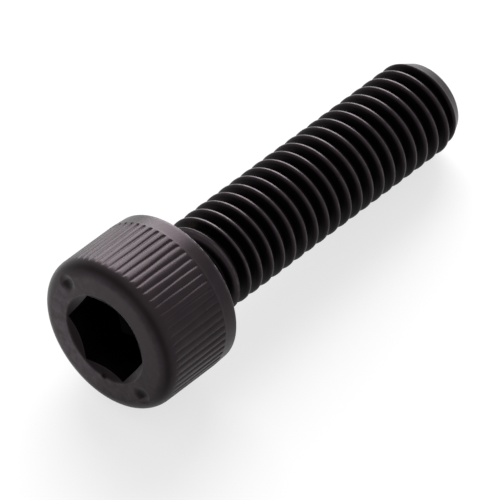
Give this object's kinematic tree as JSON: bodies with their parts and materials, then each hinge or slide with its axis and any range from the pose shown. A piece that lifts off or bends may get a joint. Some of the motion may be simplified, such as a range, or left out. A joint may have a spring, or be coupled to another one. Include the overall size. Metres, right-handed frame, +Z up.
{
  "type": "socket head bolt",
  "caption": "Black hex socket head bolt with a knurled cylindrical head and a shank threaded to the tip, for clamping parts together.",
  "frame": {"origin": "on the floor, midway along the bolt as it lies, under its axis", "axes": "+X from the head towards the tip as seen from above, +Z up. The bolt's own axis leans down towards the tip by the angle at which the head and the last crest both touch the floor."},
  "size_m": [0.0294, 0.01, 0.0103],
  "materials": {
    "black_oxide_steel": "black oxide with a thin oil film, satin"
  },
  "bodies": {
    "root": {"socket_head_bolt": "black_oxide_steel"}
  },
  "joints": []
}
